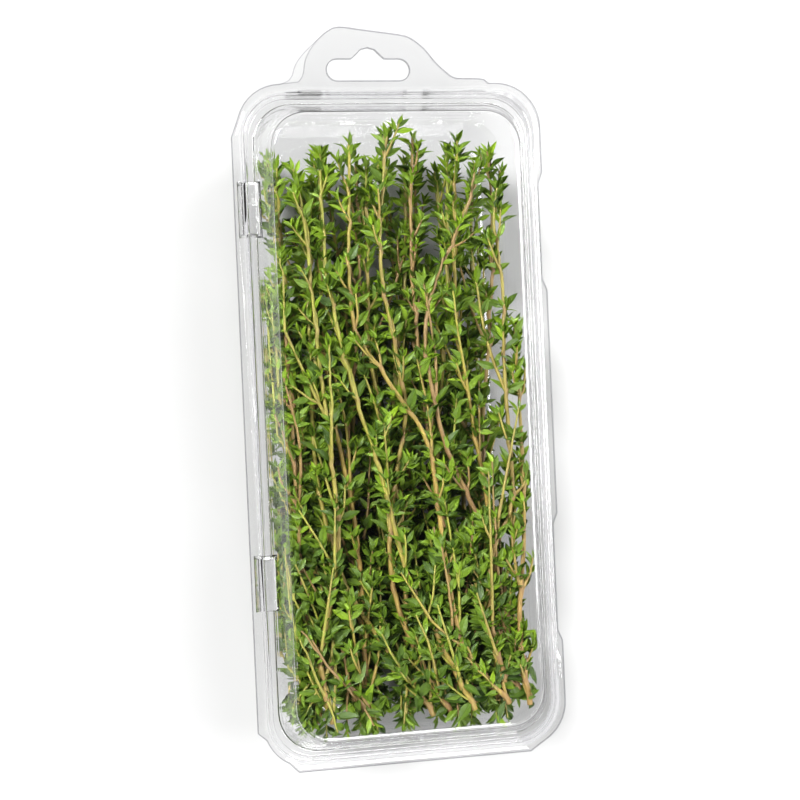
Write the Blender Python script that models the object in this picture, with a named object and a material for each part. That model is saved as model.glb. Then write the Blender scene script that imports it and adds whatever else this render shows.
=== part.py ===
"""Cut thyme sprigs in a clear hinged clamshell pack that lies on its back.

The pack lies along Y with its hang tab towards +Y and its hinge along the -X side.
The origin is under the middle of the pack, on the surface that it lies on.
"""
import math
import random

import bmesh
import bpy
from mathutils import Matrix, Vector
from mathutils.bvhtree import BVHTree

MM = 0.001

# The pack, one thin sheet in two halves
PACK_WIDTH = 88 * MM
FLANGE_LENGTH = 188.4 * MM
TAB_HEIGHT = 15.7 * MM
TRAY_DEPTH = 14 * MM
SHEET = 0.6 * MM
GAP = 0.3 * MM
CORNER_RADIUS = 12.5 * MM
CORNER_EASE = 0.3
CORNER_STEPS = 5
FLANGE_CENTRE_Y = -TAB_HEIGHT / 2
HALF_WIDTH = PACK_WIDTH / 2
HALF_LENGTH = FLANGE_LENGTH / 2
FOLD_STRIP = 1.6 * MM
FOLD_STRIP_ENDS = (79.7 * MM, -82.7 * MM)
CUT_END_CORNER = 33.2 * MM
CUT_END_STEP = 1.2 * MM
SNAP_CUT_BACK = 1.3 * MM
SNAP_CUTS = ((-63.6, -60.6, -30.6, -27.6), (35.6, 38.8, 65.6, 68.8))

# The hang tab's edge in millimetres: across from the pack's middle, and past the flange's end
TAB_SNAP_SIDE = ((29.4, 0), (27.5, 1.2), (20.5, 1.4), (18.8, 1.9), (16.0, 4.2), (14.1, 6.1), (11.7, 9.2),
                 (10.0, 10.8), (7.8, 12.4), (5.6, 13.3), (0.2, 14.1), (-6.9, 15.0), (-12.6, 15.7))
LID_TAB_FOLD_SIDE = ((-15.5, 14.9), (-18.6, 12.5), (-21.2, 9.4), (-22.5, 7.0), (-23.1, 4.6), (-23.5, 2.4),
                     (-24.8, 0.6))
TRAY_TAB_FOLD_SIDE = ((-15.5, 14.9), (-18.6, 12.5), (-22.2, 9.3), (-24.6, 6.6), (-25.7, 4.6), (-26.2, 2.9),
                      (-27.0, 1.4), (-28.8, 0.4))

# The euro slot in the hang tab
SLOT_X = -5 * MM
SLOT_WIDTH = 23.4 * MM
SLOT_HEIGHT = 5.9 * MM
SLOT_BASE = 0.8 * MM
SLOT_NOTCH_HEIGHT = 3.1 * MM
SLOT_NOTCH_FOOT = 4.7 * MM
SLOT_NOTCH_TOP = 1.9 * MM
SLOT_NOTCH_ROUND = 0.5 * MM

# The half-barrel hinges on the fold side
BARREL_X = -39.6 * MM
BARREL_RADIUS = 3.3 * MM
BARREL_LENGTH = 15.4 * MM
BARREL_SLOPE = 0.8 * MM
BARREL_CENTRES_Y = (60 * MM, -42 * MM)
BARREL_STEPS = 8

# The sheet's section in millimetres: inset from the flange's edge, height over the parting plane
LID_INSIDE = ((10.5, 10.4), (9.8, 9.9), (7.0, 2.9), (6.5, 1.6), (3.7, 1.6), (3.5, 0.15))
LID_OUTSIDE = ((2.9, 0.75), (3.1, 2.2), (5.9, 2.2), (6.4, 3.2), (9.2, 10.1), (9.9, 10.8), (10.6, 11.0))
LID_PANEL = ((12.4, 11.0), (13.2, 10.5))
LID_PANEL_INSIDE = ((13.5, 9.9), (12.6, 10.4))
TRAY_INSIDE = ((9.4, -13.4), (8.2, -12.7), (6.5, -1.6), (6.0, 1.2), (4.2, 1.2), (4.0, -0.15))
TRAY_OUTSIDE = ((4.7, -0.75), (4.8, 0.5), (5.4, 0.5), (5.9, -1.6), (7.6, -13.0), (8.8, -14.0))
TRAY_FLOOR = ((14.0, -14.0), (15.2, -13.4))
TRAY_FLOOR_INSIDE = ((15.4, -12.8), (14.2, -13.4))
FLOOR_LEVEL = -12.8 * MM
PANEL_LEVEL = 9.9 * MM
FLANGE_HOLE_INSET = 2.0 * MM
SHEET_EDGE_INSET = 1.2 * MM

# The cavity's wall in millimetres: height over the parting plane, inset from the flange's edge
CAVITY_WALL = ((-13.4, 9.4), (-12.7, 8.2), (-1.6, 6.5), (1.2, 6.5), (2.9, 7.1), (9.9, 10.0))

# The sprigs
SEED = 1409
STEM_SIDES = 5
STEM_BASE_RADIUS = 0.78 * MM
STEM_TIP_RADIUS = 0.5 * MM
STEM_STEP = 15 * MM
FIRST_NODE = 24 * MM
NODE_SPACING = 14.5 * MM
TUFT_SPACING = 4.4 * MM
LEAF_LENGTH = 7.6 * MM
LEAF_WIDTH = 3.9 * MM
LEAF_THICKNESS = 0.8 * MM
LEAF_BELLY = 0.42
LEAF_CLEARANCE = 1.12
LEAF_TRIES = ((0, 0), (25, 0), (-25, 0), (0, 16), (50, 8), (-50, 8), (75, 14), (-75, 14), (0, 28))
LEAF_ROLL = 35
WALL_CLEARANCE = 0.5 * MM

# Routes of the stems that lie nearest the lid, from the cut end to the tip, in millimetres:
# x and y from the flange's centre, and the height over the parting plane
FRONT_STEMS = (
    ((-24.5, -80.5, 6.8), (-26.9, -62, 6.8), (-21, -36, 6.8), (-21.3, -11, 6.8), (-24, 22, 6.8), (-26, 55, 6.8),
     (-28.5, 70, 6.4)),
    ((15.7, -80, 6.6), (5.4, -58, 6.8), (-2.2, -40, 6.8), (-9.2, -8, 6.8), (-14, 7, 6.8), (-20.3, 40, 6.8),
     (-21, 74, 6.2)),
    ((25.6, -79, 6.8), (13.2, -62, 7.0), (9, -38, 7.0), (5.4, -6, 7.0), (-5.4, 12.6, 7.0), (-14, 31, 6.8),
     (-12.6, 77, 6.2)),
    ((29, -78, 4.8), (27, -60, 4.4), (25.5, -42, 4.4), (21, -30, 4.4), (14.5, -16, 5.4), (9, 0, 6.8), (6.2, 24, 6.8),
     (10.5, 40, 6.8), (19.5, 58, 6.6), (23, 71, 6.2)),
    ((24.4, -73, 6.8), (20.9, -50, 6.8), (23.4, -35, 6.8), (29, -22, 6.8), (28.4, 10, 6.8), (29, 38, 6.4),
     (27.4, 53, 6.0), (29, 64, 5.6)),
    ((31.6, -80, 6.2), (29.6, -57, 6.6), (31.8, -35, 6.6), (32.6, -14, 6.4), (32.4, 6, 6.0), (32.2, 26, 5.6)),
    ((9.5, -81, 4.4), (2.5, -68, 4.4), (-4.1, -51, 4.4), (-6, -32, 4.4), (-2.9, -13, 4.4), (0.3, 5, 4.4),
     (-3.2, 27, 5.8), (-5.5, 48, 6.8), (-2, 79, 6.2)),
    ((4.4, -81, 4.4), (-0.8, -72, 4.4), (-9.8, -59, 4.4), (-17.9, -45, 4.4), (-22.5, -31, 4.4), (-25.5, -11, 4.4),
     (-26, 10, 4.4), (-25.5, 30, 4.4), (-23.5, 62, 4.0)),
    ((-12.5, -81, 4.4), (-20, -70, 4.4), (-29, -56, 4.4), (-31, -26, 4.4), (-31.5, 8, 4.4), (-32.5, 34, 4.2)),
)

# The layers below: height, number of stems, lean of the fan, and how far the tips reach
BACK_LAYERS = (
    (2.2, 5, -6.0, 79.0),
    (-2.2, 5, 5.0, 77.0),
    (-6.5, 4, -4.0, 80.0),
    (-10.6, 4, 6.0, 75.0),
)
FAN_CENTRE = -2.5
FAN_HALF_WIDTH = 32.0
FAN_OFFSETS = (0.3, 0.7)
FAN_BASE_Y = -81.0
BASE_SPREAD = 5
TIP_SPREAD = 12
SWAY = 2.2
SWAY_TURN = 2.2 * math.pi
SWAY_LAG = 1.7
SIDE_JITTER = 0.7
LEVEL_JITTER = 0.25
ROUTE_STEPS = 6


# Flat shapes and rings

def arc(centre, radius, start, end, steps):
    """Points on an arc between two angles in degrees."""
    points = []
    for step in range(steps + 1):
        angle = math.radians(start + (end - start) * step / steps)
        points.append((centre[0] + radius * math.cos(angle), centre[1] + radius * math.sin(angle)))
    return points


def rounded_ring(inset, height):
    """A rounded rectangle inside the flange's edge, at a height over the surface."""
    radius = max(CORNER_RADIUS - CORNER_EASE * inset, 2 * MM)
    reach_x = HALF_WIDTH - inset - radius
    reach_y = HALF_LENGTH - inset - radius
    corners = ((reach_x, -reach_y, -90), (reach_x, reach_y, 0), (-reach_x, reach_y, 90), (-reach_x, -reach_y, 180))
    points = []
    for x, y, start in corners:
        points += arc((x, FLANGE_CENTRE_Y + y), radius, start, start + 90, CORNER_STEPS)
    return [Vector((x, y, height)) for x, y in points]


def section_rings(section):
    """Rings for a section given in millimetres over the parting plane."""
    return [rounded_ring(inset * MM, TRAY_DEPTH + height * MM) for inset, height in section]


def flange_outline(fold_side):
    """The flange's edge, anticlockwise from the cut-end corner on the snap side."""
    right = HALF_WIDTH
    end = HALF_LENGTH
    radius = CORNER_RADIUS
    fold_corner_x = FOLD_STRIP - HALF_WIDTH + radius
    cut_corner_y = CUT_END_STEP - end + radius
    points = [(CUT_END_CORNER, -end)]
    points += arc((right - radius, cut_corner_y), radius, -62, 0, 4)
    for low, low_back, high_back, high in SNAP_CUTS:
        points.append((right, low * MM))
        points.append((right - SNAP_CUT_BACK, low_back * MM))
        points.append((right - SNAP_CUT_BACK, high_back * MM))
        points.append((right, high * MM))
    points += arc((right - radius, end - radius), radius, 0, 90, 5)
    points += [(x * MM, end + y * MM) for x, y in TAB_SNAP_SIDE + fold_side]
    points += arc((fold_corner_x, end - radius), radius, 90, 165, 4)
    points += [(-HALF_WIDTH, y) for y in FOLD_STRIP_ENDS]
    points += arc((fold_corner_x, cut_corner_y), radius, 200, 242, 3)
    points.append((-CUT_END_CORNER, -end))
    return [(x, y + FLANGE_CENTRE_Y) for x, y in points]


def slot_outline():
    """The euro slot: a long hole with round ends and a notch in the middle of its upper side."""
    radius = SLOT_HEIGHT / 2
    middle = HALF_LENGTH + SLOT_BASE + radius
    top = middle + radius
    reach = SLOT_WIDTH / 2 - radius
    points = arc((SLOT_X + reach, middle), radius, -90, 90, 6)
    points += [(SLOT_X + SLOT_NOTCH_FOOT, top)]
    points += [(SLOT_X + SLOT_NOTCH_TOP, top + SLOT_NOTCH_HEIGHT - SLOT_NOTCH_ROUND)]
    points += [(SLOT_X, top + SLOT_NOTCH_HEIGHT)]
    points += [(SLOT_X - SLOT_NOTCH_TOP, top + SLOT_NOTCH_HEIGHT - SLOT_NOTCH_ROUND)]
    points += [(SLOT_X - SLOT_NOTCH_FOOT, top)]
    points += arc((SLOT_X - reach, middle), radius, 90, 270, 6)
    return [(x, y + FLANGE_CENTRE_Y) for x, y in points]


def bead_gap_outline(centre_y):
    """Where the tray's bead stops to let a hinge barrel pass."""
    reach_x = BARREL_RADIUS + GAP
    reach_y = BARREL_LENGTH / 2 + 2 * GAP
    return [(BARREL_X - reach_x, centre_y - reach_y), (BARREL_X + reach_x, centre_y - reach_y),
            (BARREL_X + reach_x, centre_y + reach_y), (BARREL_X - reach_x, centre_y + reach_y)]


# Solids

def new_object(name, mesh_builder, material=None):
    """An object whose mesh a bmesh builds."""
    mesh = bpy.data.meshes.new(name)
    mesh.name = name
    builder = bmesh.new()
    mesh_builder(builder)
    bmesh.ops.recalc_face_normals(builder, faces=builder.faces)
    builder.to_mesh(mesh)
    builder.free()
    thing = bpy.data.objects.new(name, mesh)
    bpy.context.scene.collection.objects.link(thing)
    if material:
        mesh.materials.append(material)
    return thing


def loft(builder, rings):
    """A closed solid through rings of equal count, with a face on the first and on the last."""
    levels = [[builder.verts.new(point) for point in ring] for ring in rings]
    for lower, upper in zip(levels, levels[1:]):
        for corner in range(len(lower)):
            builder.faces.new((lower[corner - 1], lower[corner], upper[corner], upper[corner - 1]))
    builder.faces.new(levels[0])
    builder.faces.new(levels[-1])


def plate(builder, outline, low, high):
    """A flat solid with the outline, between two heights."""
    face = builder.faces.new([builder.verts.new((x, y, low)) for x, y in outline])
    grown = bmesh.ops.extrude_face_region(builder, geom=[face])
    moved = [item for item in grown["geom"] if isinstance(item, bmesh.types.BMVert)]
    bmesh.ops.translate(builder, verts=moved, vec=(0, 0, high - low))


def half_barrel(builder, centre_y, radius, slope, side, floor):
    """Half a barrel lying along Y, rising on one side of the parting plane, with sloped ends."""
    rings = []
    for end in (-1, 1):
        ring = []
        for step in range(BARREL_STEPS + 1):
            angle = math.pi * step / BARREL_STEPS
            rise = math.sin(angle)
            y = centre_y + end * (BARREL_LENGTH / 2 - (BARREL_RADIUS - radius) - slope * rise)
            ring.append(Vector((BARREL_X + radius * math.cos(angle), y, floor + side * radius * rise)))
        rings.append(ring)
    loft(builder, rings)


def combine(target, other, operation):
    """Join or cut with another object, apply it, and remove the other object."""
    modifier = target.modifiers.new(operation, "BOOLEAN")
    modifier.operation = operation
    modifier.object = other
    modifier.solver = "EXACT"
    apply_modifiers(target)
    bpy.data.objects.remove(other)


def apply_modifiers(target):
    """Replace a mesh by the mesh that its modifiers make."""
    graph = bpy.context.evaluated_depsgraph_get()
    mesh = bpy.data.meshes.new_from_object(target.evaluated_get(graph))
    mesh.name = target.name
    target.modifiers.clear()
    target.data = mesh


def shade_round(target, degrees):
    """Smooth shading, except over edges sharper than the angle."""
    target.data.shade_smooth()
    target.data.set_sharp_from_angle(angle=math.radians(degrees))


# Materials

def finish(name, colour, roughness, transmission=0.0):
    """A Principled material."""
    material = bpy.data.materials.new(name)
    material.use_nodes = True
    shader = material.node_tree.nodes["Principled BSDF"]
    shader.inputs["Base Color"].default_value = (*colour, 1)
    shader.inputs["Roughness"].default_value = roughness
    shader.inputs["Metallic"].default_value = 0
    shader.inputs["Transmission Weight"].default_value = transmission
    return material


# The pack's two halves

def make_half(name, side, inside, outside, tab_side, material):
    """One half of the pack: a lofted shell, its flange with the tab, its slot and its barrels."""
    near = TRAY_DEPTH + side * GAP / 2
    far = near + side * SHEET
    low, high = min(near, far), max(near, far)
    middle = (low + high) / 2

    rim = [rounded_ring(SHEET_EDGE_INSET, near), rounded_ring(SHEET_EDGE_INSET, far)]
    rings = section_rings(inside) + rim + section_rings(outside)
    half = new_object(name, lambda builder: loft(builder, rings), material)

    flange = new_object("flange", lambda builder: plate(builder, flange_outline(tab_side), low, high))
    well = [rounded_ring(FLANGE_HOLE_INSET, middle - SHEET), rounded_ring(FLANGE_HOLE_INSET, middle + SHEET)]
    combine(flange, new_object("well", lambda builder: loft(builder, well)), "DIFFERENCE")
    combine(half, flange, "UNION")

    outer = BARREL_RADIUS
    inner = BARREL_RADIUS - SHEET
    for centre_y in BARREL_CENTRES_Y:
        y = centre_y + FLANGE_CENTRE_Y
        shape = new_object("barrel", lambda builder: half_barrel(builder, y, outer, BARREL_SLOPE, side, middle))
        combine(half, shape, "UNION")
    for centre_y in BARREL_CENTRES_Y:
        y = centre_y + FLANGE_CENTRE_Y
        start = near - side * SHEET
        shape = new_object("hollow", lambda builder: half_barrel(builder, y, inner, BARREL_SLOPE, side, start))
        combine(half, shape, "DIFFERENCE")

    if side < 0:
        for centre_y in BARREL_CENTRES_Y:
            outline = bead_gap_outline(centre_y + FLANGE_CENTRE_Y)
            gap = new_object("bead_gap", lambda builder: plate(builder, outline, near + SHEET / 3, near + 4 * SHEET))
            combine(half, gap, "DIFFERENCE")

    slot = new_object("slot", lambda builder: plate(builder, slot_outline(), low - SHEET, high + SHEET))
    combine(half, slot, "DIFFERENCE")
    shade_round(half, 35)
    return half


# Where the sprigs have room

def wall_inset(height):
    """How far in the cavity's wall stands at a height over the parting plane, in metres."""
    level = max(height / MM, CAVITY_WALL[0][0])
    for (low, before), (high, after) in zip(CAVITY_WALL, CAVITY_WALL[1:]):
        if level <= high:
            return (before + (after - before) * (level - low) / (high - low)) * MM
    return CAVITY_WALL[-1][1] * MM


def has_room(point):
    """Whether a point lies in the pack's cavity, clear of its walls."""
    height = point.z - TRAY_DEPTH
    if height < FLOOR_LEVEL + WALL_CLEARANCE or height > PANEL_LEVEL - WALL_CLEARANCE:
        return False
    inset = wall_inset(height) + WALL_CLEARANCE
    radius = CORNER_RADIUS - CORNER_EASE * inset
    across = abs(point.x) - (HALF_WIDTH - inset - radius)
    along = abs(point.y - FLANGE_CENTRE_Y) - (HALF_LENGTH - inset - radius)
    outside = math.hypot(max(across, 0), max(along, 0)) + min(max(across, along), 0)
    return outside < radius


# Stems

def catmull(points, count):
    """Points at even steps along a smooth curve through the given ones."""
    padded = [points[0] * 2 - points[1]] + list(points) + [points[-1] * 2 - points[-2]]
    fine = []
    for index in range(1, len(padded) - 2):
        before, here, after, beyond = padded[index - 1:index + 3]
        for step in range(12):
            t = step / 12
            fine.append(0.5 * (2 * here + (after - before) * t
                               + (2 * before - 5 * here + 4 * after - beyond) * t ** 2
                               + (3 * here - before - 3 * after + beyond) * t ** 3))
    fine.append(points[-1])
    return resample(fine, count)


def resample(line, count):
    """The same line with evenly spaced points."""
    lengths = [0]
    for here, after in zip(line, line[1:]):
        lengths.append(lengths[-1] + (after - here).length)
    points = []
    index = 0
    for step in range(count):
        goal = lengths[-1] * step / (count - 1)
        while index < len(line) - 2 and lengths[index + 1] < goal:
            index += 1
        span = lengths[index + 1] - lengths[index]
        points.append(line[index].lerp(line[index + 1], (goal - lengths[index]) / span))
    return points


def front_routes():
    """The routes of the stems nearest the lid."""
    routes = []
    for points in FRONT_STEMS:
        routes.append([Vector((x * MM, y * MM + FLANGE_CENTRE_Y, TRAY_DEPTH + z * MM)) for x, y, z in points])
    return routes


def back_routes():
    """Fans of stems in the layers below, which sway together so that none crosses another."""
    routes = []
    for number, (height, count, lean, tip_y) in enumerate(BACK_LAYERS):
        for index in range(count):
            draw = random.Random(SEED + 100 * number + index)
            place = -1 + 2 * (index + FAN_OFFSETS[number % 2]) / count
            route = []
            start = FAN_BASE_Y + draw.uniform(0, BASE_SPREAD)
            end = tip_y - draw.uniform(0, TIP_SPREAD)
            for step in range(ROUTE_STEPS + 1):
                t = step / ROUTE_STEPS
                x = FAN_CENTRE + FAN_HALF_WIDTH * place + lean * (t - 0.5)
                x += SWAY * math.sin(SWAY_TURN * t + number * SWAY_LAG) + draw.uniform(-SIDE_JITTER, SIDE_JITTER)
                z = height + draw.uniform(-LEVEL_JITTER, LEVEL_JITTER)
                y = start + (end - start) * t
                route.append(Vector((x * MM, y * MM + FLANGE_CENTRE_Y, TRAY_DEPTH + z * MM)))
            routes.append(route)
    return routes


def stem_frame(line, index):
    """The direction along a stem at a point, and two directions square to it."""
    before = line[max(index - 1, 0)]
    after = line[min(index + 1, len(line) - 1)]
    along = (after - before).normalized()
    side = along.cross(Vector((0, 0, 1))).normalized()
    return along, side, side.cross(along)


def stem_radius(t):
    """A stem's radius at a share of its length."""
    return STEM_BASE_RADIUS + (STEM_TIP_RADIUS - STEM_BASE_RADIUS) * t


def stem_rings(line):
    """Rings of points round a stem."""
    rings = []
    for index, point in enumerate(line):
        _, side, up = stem_frame(line, index)
        radius = stem_radius(index / (len(line) - 1))
        ring = []
        for corner in range(STEM_SIDES):
            angle = 2 * math.pi * corner / STEM_SIDES
            ring.append(point + side * radius * math.cos(angle) + up * radius * math.sin(angle))
        rings.append(ring)
    return rings


def tube_faces(rings):
    """Vertices and triangles of a closed tube, for the clearance test."""
    count = len(rings[0])
    verts = [point for ring in rings for point in ring]
    faces = []
    for level in range(len(rings) - 1):
        for corner in range(count):
            a = level * count + corner
            b = level * count + (corner + 1) % count
            faces += [(a, b, b + count), (a, b + count, a + count)]
    return verts, faces


# Leaves

def leaf_points(root, direction, across, length):
    """The five points of a pointed blade with a ridge along it: root, side, tip, side and ridge."""
    normal = direction.cross(across).normalized()
    width = LEAF_WIDTH * length / LEAF_LENGTH
    belly = root + direction * length * LEAF_BELLY
    return [root, belly + across * width / 2, root + direction * length, belly - across * width / 2,
            belly + normal * LEAF_THICKNESS]


LEAF_FACES = ((0, 1, 4), (1, 2, 4), (2, 3, 4), (3, 0, 4), (0, 2, 1), (0, 3, 2))


def grown(points, scale):
    """The same points scaled about their middle."""
    middle = sum(points, Vector()) / len(points)
    return [middle + (point - middle) * scale for point in points]


def leaf_nodes(line, draw):
    """Places along a stem where a pair of leaves grows: distance, size and spread."""
    total = sum((after - here).length for here, after in zip(line, line[1:]))
    places = []
    distance = FIRST_NODE * draw.uniform(0.6, 1.2)
    tuft = total - 2.4 * TUFT_SPACING
    while distance < tuft:
        share = distance / total
        places.append((distance, 1.05 - 0.25 * share, draw.uniform(46, 64)))
        distance += NODE_SPACING * draw.uniform(0.85, 1.1) * (1.1 - 0.35 * share)
    places.append((tuft + 0.3 * TUFT_SPACING, 0.85, 48))
    places.append((total - 0.6 * TUFT_SPACING, 0.72, 30))
    return places


def point_along(line, distance):
    """The point at a distance along a line, with the index of the stretch that it is in."""
    for index, (here, after) in enumerate(zip(line, line[1:])):
        span = (after - here).length
        if distance <= span:
            return here.lerp(after, distance / span), index
        distance -= span
    return line[-1].copy(), len(line) - 1


def place_leaf(line, distance, size, spread, turn, draw, obstacles):
    """A leaf's points, turned until it has room, or None where it never does."""
    root, index = point_along(line, distance)
    along, side, up = stem_frame(line, index)
    roll = draw.uniform(-LEAF_ROLL, LEAF_ROLL)
    length = LEAF_LENGTH * size * draw.uniform(0.9, 1.1)
    for more_turn, less_spread in LEAF_TRIES:
        angle = math.radians(turn + more_turn)
        lean = math.radians(spread - less_spread)
        outward = side * math.cos(angle) + up * math.sin(angle)
        direction = along * math.cos(lean) + outward * math.sin(lean)
        across = direction.cross(Vector((0, 0, 1)))
        if across.length < 0.2:
            across = direction.cross(side)
        across = Matrix.Rotation(math.radians(roll), 3, direction) @ across.normalized()
        points = leaf_points(root, direction, across, length)
        test = grown(points, LEAF_CLEARANCE)
        if not all(has_room(point) for point in test):
            continue
        tree = BVHTree.FromPolygons(test, LEAF_FACES)
        if any(tree.overlap(obstacle) for obstacle in obstacles):
            continue
        return points
    return None


def sprig_leaves(number, line, obstacles):
    """Every leaf of a sprig: opposite pairs, each pair turned a quarter from the last, flattened a little."""
    draw = random.Random(SEED + 1000 + number)
    places = leaf_nodes(line, draw)
    leaves = []
    for level, (distance, size, spread) in enumerate(places):
        quarter = 28 if level % 2 else 62
        for half_turn in (0, 180):
            turn = quarter * (-1) ** (level // 2) + half_turn + draw.uniform(-12, 12)
            points = place_leaf(line, distance, size, spread, turn, draw, obstacles)
            if points:
                leaves.append(points)
    return leaves


def make_sprigs(stem_finish, leaf_finish):
    """Every sprig as one object: its stem joined with its leaves by one Boolean union."""
    lines = []
    for route in front_routes() + back_routes():
        length = sum((after - here).length for here, after in zip(route, route[1:]))
        lines.append(catmull(route, max(round(length / STEM_STEP), 4)))
    tubes = [tube_faces(stem_rings(line)) for line in lines]
    trees = [BVHTree.FromPolygons(verts, faces) for verts, faces in tubes]
    grown_leaves = []
    for number, line in enumerate(lines):
        others = [tree for index, tree in enumerate(trees) if index != number]
        others += grown_leaves
        leaves = sprig_leaves(number, line, others)
        verts = []
        faces = []
        for points in leaves:
            faces += [tuple(corner + len(verts) for corner in face) for face in LEAF_FACES]
            verts += grown(points, LEAF_CLEARANCE)
        grown_leaves.append(BVHTree.FromPolygons(verts, faces))
        join_sprig("sprig_%02d" % (number + 1), line, leaves, stem_finish, leaf_finish)


def join_sprig(name, line, leaves, stem_finish, leaf_finish):
    """One sprig's stem and leaves made one solid."""
    sprig = new_object(name, lambda builder: loft(builder, stem_rings(line)), stem_finish)
    sprig.data.materials.append(leaf_finish)
    group = bpy.data.collections.new(name + "_leaves")
    bpy.context.scene.collection.children.link(group)
    for points in leaves:
        leaf = new_object("leaf", lambda builder: leaf_solid(builder, points), stem_finish)
        leaf.data.materials.append(leaf_finish)
        for face in leaf.data.polygons:
            face.material_index = 1
        bpy.context.scene.collection.objects.unlink(leaf)
        group.objects.link(leaf)
    modifier = sprig.modifiers.new("leaves", "BOOLEAN")
    modifier.operation = "UNION"
    modifier.operand_type = "COLLECTION"
    modifier.collection = group
    modifier.solver = "EXACT"
    apply_modifiers(sprig)
    for leaf in list(group.objects):
        bpy.data.objects.remove(leaf)
    bpy.data.collections.remove(group)


def leaf_solid(builder, points):
    """A leaf's solid from its five points."""
    verts = [builder.verts.new(point) for point in points]
    for face in LEAF_FACES:
        builder.faces.new([verts[corner] for corner in face])


def main():
    """Clear the scene and make the pack and its sprigs."""
    for thing in list(bpy.data.objects):
        bpy.data.objects.remove(thing)
    clear_sheet = finish("clear_sheet", (0.92, 0.94, 0.95), 0.08, transmission=1.0)
    woody_stem = finish("woody_stem", (0.50, 0.34, 0.15), 0.6)
    green_leaf = finish("green_leaf", (0.16, 0.30, 0.07), 0.5)
    make_half("tray", -1, TRAY_FLOOR_INSIDE + TRAY_INSIDE, TRAY_OUTSIDE + TRAY_FLOOR, TRAY_TAB_FOLD_SIDE, clear_sheet)
    make_half("lid", 1, LID_PANEL_INSIDE + LID_INSIDE, LID_OUTSIDE + LID_PANEL, LID_TAB_FOLD_SIDE, clear_sheet)
    make_sprigs(woody_stem, green_leaf)


main()
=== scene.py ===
"""Looks for cut thyme sprigs in a clear hinged clamshell pack that lies on its back.

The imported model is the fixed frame. Each half of the pack becomes a thin sheet with rounded folds,
and each sprig gets its kinked stem, its side shoots and its leaves along the same route.
"""

import math
import random

import bmesh
import bpy
from bpy.props import FloatProperty, FloatVectorProperty, IntProperty, PointerProperty
from mathutils import Matrix, Vector


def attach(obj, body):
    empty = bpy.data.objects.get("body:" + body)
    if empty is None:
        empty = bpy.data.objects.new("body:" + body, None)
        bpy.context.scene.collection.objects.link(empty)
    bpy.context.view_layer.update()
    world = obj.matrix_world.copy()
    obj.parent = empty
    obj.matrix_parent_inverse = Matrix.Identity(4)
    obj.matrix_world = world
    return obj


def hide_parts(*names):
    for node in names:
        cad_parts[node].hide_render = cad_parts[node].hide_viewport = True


bl_info = {
    "name": "Thyme Clamshell Pack",
    "version": (1, 0, 0),
    "blender": (4, 5, 0),
    "location": "View3D > Sidebar > Thyme Pack",
    "description": "Builds cut thyme sprigs in a clear hinged clamshell pack",
    "category": "Object",
}

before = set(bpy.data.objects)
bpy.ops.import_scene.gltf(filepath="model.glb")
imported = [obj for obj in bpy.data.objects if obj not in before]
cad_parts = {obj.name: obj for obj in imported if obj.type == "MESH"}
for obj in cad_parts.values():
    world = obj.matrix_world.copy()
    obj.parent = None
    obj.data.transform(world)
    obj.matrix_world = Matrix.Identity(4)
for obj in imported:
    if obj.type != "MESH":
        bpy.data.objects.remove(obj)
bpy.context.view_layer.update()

MM = 0.001
UP = Vector((0, 0, 1))

# The pack's plan and levels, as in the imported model
HALF_WIDTH = 44 * MM
HALF_LENGTH = 94.2 * MM
CENTRE_Y = -7.85 * MM
PARTING = 14 * MM
CORNER_RADIUS = 12.5 * MM
CORNER_EASE = 0.3
CORNER_STEPS = 9
SMALLEST_CORNER = 2 * MM
FOLD_STRIP = 1.6 * MM
FOLD_STRIP_ENDS = (79.7 * MM, -82.7 * MM)
CUT_END_CORNER = 33.2 * MM
CUT_END_STEP = 1.2 * MM
SNAP_CUT_BACK = 1.3 * MM
# Each place where the flange's edge steps back, in millimetres along it
SNAP_CUTS = ((-63.6, -60.6, -30.6, -27.6), (35.6, 38.8, 65.6, 68.8))
# The tab's outline in millimetres, from the flange's corner on the snap side to the one on the fold side
TAB_SNAP_SIDE = ((29.4, 0), (27.5, 1.2), (20.5, 1.4), (18.8, 1.9), (16.0, 4.2), (14.1, 6.1), (11.7, 9.2),
                 (10.0, 10.8), (7.8, 12.4), (5.6, 13.3), (0.2, 14.1), (-6.9, 15.0), (-12.6, 15.7))
LID_TAB_FOLD_SIDE = ((-15.5, 14.9), (-18.6, 12.5), (-21.2, 9.4), (-22.5, 7.0), (-23.1, 4.6), (-23.5, 2.4),
                     (-24.8, 0.6))
TRAY_TAB_FOLD_SIDE = ((-15.5, 14.9), (-18.6, 12.5), (-22.2, 9.3), (-24.6, 6.6), (-25.7, 4.6), (-26.2, 2.9),
                      (-27.0, 1.4), (-28.8, 0.4))
TAB_STEPS = 44
# Arcs at the flange's corners: start and end in degrees, and steps
SNAP_CUT_ARC = (-62, 0, 8)
SNAP_TAB_ARC = (0, 90, 10)
FOLD_TAB_ARC = (90, 165, 8)
FOLD_CUT_ARC = (200, 242, 6)
SLOT_X = -5 * MM
SLOT_WIDTH = 23.4 * MM
SLOT_HEIGHT = 5.9 * MM
SLOT_BASE = 0.8 * MM
SLOT_STEPS = 12
NOTCH_HEIGHT = 3.1 * MM
NOTCH_FOOT = 4.7 * MM
NOTCH_TOP = 1.9 * MM
NOTCH_SHOULDER = 1.4 * MM
SHOULDER_HEIGHT = 1.2 * MM
NOTCH_ROUNDING = 0.5 * MM
BARREL_X = -39.6 * MM
BARREL_RADIUS = 3.3 * MM
BARREL_LENGTH = 15.4 * MM
BARREL_SLOPE = 0.8 * MM
BARREL_CENTRES_Y = (60 * MM, -42 * MM)
BARREL_STEPS = 16

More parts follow.
